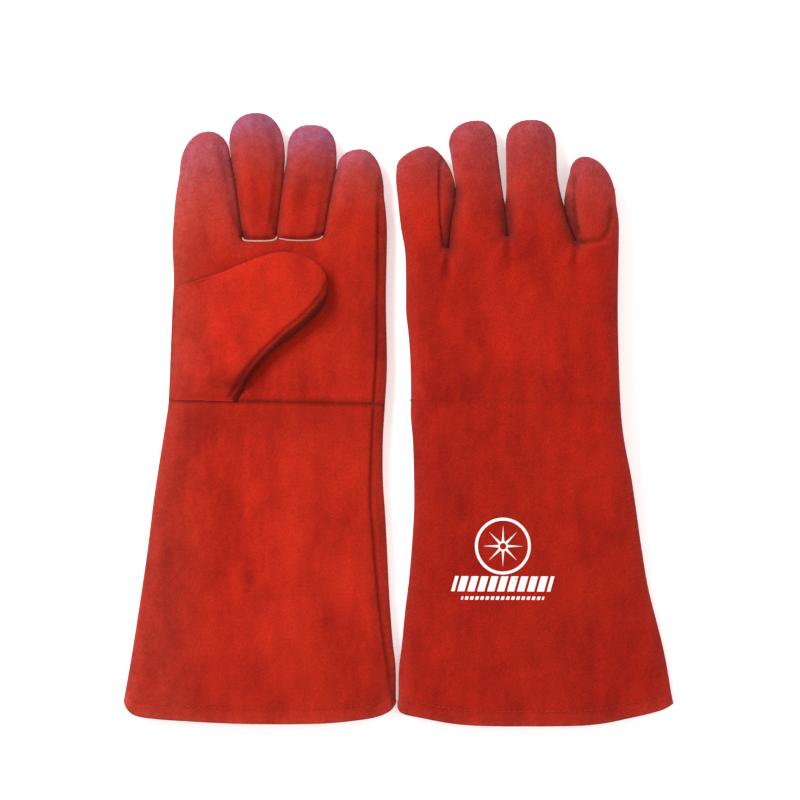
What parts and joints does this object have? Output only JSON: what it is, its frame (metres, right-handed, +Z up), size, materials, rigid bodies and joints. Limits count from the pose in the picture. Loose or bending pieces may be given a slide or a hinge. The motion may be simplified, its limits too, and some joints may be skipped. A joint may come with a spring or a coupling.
{
  "type": "pair of welding gloves",
  "caption": "Pair of red suede gauntlets for welding, one palm up with its thumb folded over, one palm down, with bending wrists, fingers and thumbs and open cuffs.",
  "frame": {"origin": "on the surface that the gloves lie on, under the middle of the pair's bounding box", "axes": "+X from the palm-up left-hand glove to the palm-down right-hand glove, +Y from the hems to the fingertips, +Z up from the surface"},
  "size_m": [0.3606, 0.405, 0.0315],
  "materials": {
    "red_suede": "napped split leather",
    "red_suede_side": "napped split leather, strips and welts",
    "hem_suede": "napped split leather, turned in",
    "cotton_lining": "brushed cotton"
  },
  "bodies": {
    "left_cuff": {"left_cuff_front": "red_suede", "left_cuff_back": "red_suede", "left_cuff_welt": "red_suede_side", "left_cuff_hem": "hem_suede", "left_cuff_lining": "cotton_lining"},
    "left_hand": {"left_palm": "red_suede", "left_hand_back": "red_suede", "left_thumb_base": "red_suede", "left_hand_welt": "red_suede_side", "left_hand_lining": "cotton_lining"},
    "left_index_finger": {"left_index_finger_front": "red_suede", "left_index_finger_back": "red_suede", "left_index_finger_side": "red_suede_side", "left_index_finger_lining": "cotton_lining"},
    "left_middle_finger": {"left_middle_finger_front": "red_suede", "left_middle_finger_back": "red_suede", "left_middle_finger_side": "red_suede_side", "left_middle_finger_lining": "cotton_lining"},
    "left_ring_finger": {"left_ring_finger_front": "red_suede", "left_ring_finger_back": "red_suede", "left_ring_finger_side": "red_suede_side", "left_ring_finger_lining": "cotton_lining"},
    "left_little_finger": {"left_little_finger_front": "red_suede", "left_little_finger_back": "red_suede", "left_little_finger_side": "red_suede_side", "left_little_finger_lining": "cotton_lining"},
    "left_thumb": {"left_thumb_front": "red_suede", "left_thumb_back": "red_suede", "left_thumb_lining": "cotton_lining"},
    "right_cuff": {"right_cuff_front": "red_suede", "right_cuff_back": "red_suede", "right_cuff_welt": "red_suede_side", "right_cuff_hem": "hem_suede", "right_cuff_lining": "cotton_lining"},
    "right_hand": {"right_palm": "red_suede", "right_hand_back": "red_suede", "right_thumb_base": "red_suede", "right_hand_welt": "red_suede_side", "right_hand_lining": "cotton_lining"},
    "right_index_finger": {"right_index_finger_front": "red_suede", "right_index_finger_back": "red_suede", "right_index_finger_side": "red_suede_side", "right_index_finger_lining": "cotton_lining"},
    "right_middle_finger": {"right_middle_finger_front": "red_suede", "right_middle_finger_back": "red_suede", "right_middle_finger_side": "red_suede_side", "right_middle_finger_lining": "cotton_lining"},
    "right_ring_finger": {"right_ring_finger_front": "red_suede", "right_ring_finger_back": "red_suede", "right_ring_finger_side": "red_suede_side", "right_ring_finger_lining": "cotton_lining"},
    "right_little_finger": {"right_little_finger_front": "red_suede", "right_little_finger_back": "red_suede", "right_little_finger_side": "red_suede_side", "right_little_finger_lining": "cotton_lining"},
    "right_thumb": {"right_thumb_front": "red_suede", "right_thumb_back": "red_suede", "right_thumb_lining": "cotton_lining"}
  },
  "joints": [
    {"name": "right_glove_lift", "type": "slide", "parent": "left_cuff", "child": "right_cuff", "axis": [0, 0, 1], "range_m": [0, 0.12]},
    {"name": "left_wrist", "type": "hinge", "parent": "left_cuff", "child": "left_hand", "pos_m": [-0.0808, 0.0111, 0.018], "axis": [1, 0, 0], "range_deg": [0, 60]},
    {"name": "left_index_knuckle", "type": "hinge", "parent": "left_hand", "child": "left_index_finger", "pos_m": [-0.1274, 0.1261, 0.018], "axis": [1, 0, 0], "range_deg": [0, 80]},
    {"name": "left_middle_knuckle", "type": "hinge", "parent": "left_hand", "child": "left_middle_finger", "pos_m": [-0.09185, 0.1261, 0.018], "axis": [1, 0, 0], "range_deg": [0, 80]},
    {"name": "left_ring_knuckle", "type": "hinge", "parent": "left_hand", "child": "left_ring_finger", "pos_m": [-0.06515, 0.1261, 0.018], "axis": [1, 0, 0], "range_deg": [0, 80]},
    {"name": "left_little_knuckle", "type": "hinge", "parent": "left_hand", "child": "left_little_finger", "pos_m": [-0.02765, 0.1261, 0.018], "axis": [1, 0, 0], "range_deg": [0, 80]},
    {"name": "left_thumb_fold", "type": "hinge", "parent": "left_hand", "child": "left_thumb", "pos_m": [-0.1203, 0.0596, 0.0315], "axis": [0.464, -0.8858, 0], "range_deg": [0, 85]},
    {"name": "right_wrist", "type": "hinge", "parent": "right_cuff", "child": "right_hand", "pos_m": [0.0767, 0.0093, 0.0315], "axis": [1, 0, 0], "range_deg": [0, 50]},
    {"name": "right_index_knuckle", "type": "hinge", "parent": "right_hand", "child": "right_index_finger", "pos_m": [0.017, 0.1243, 0.0305], "axis": [1, 0, 0], "range_deg": [0, 35]},
    {"name": "right_middle_knuckle", "type": "hinge", "parent": "right_hand", "child": "right_middle_finger", "pos_m": [0.05275, 0.1243, 0.0305], "axis": [1, 0, 0], "range_deg": [0, 35]},
    {"name": "right_ring_knuckle", "type": "hinge", "parent": "right_hand", "child": "right_ring_finger", "pos_m": [0.0927, 0.1243, 0.0305], "axis": [1, 0, 0], "range_deg": [0, 35]},
    {"name": "right_little_knuckle", "type": "hinge", "parent": "right_hand", "child": "right_little_finger", "pos_m": [0.12885, 0.1243, 0.0305], "axis": [1, 0, 0], "range_deg": [0, 35]},
    {"name": "right_thumb_fold", "type": "hinge", "parent": "right_hand", "child": "right_thumb", "pos_m": [0.0372, 0.0578, 0], "axis": [-0.464, 0.8858, 0], "range_deg": [0, 60]}
  ]
}
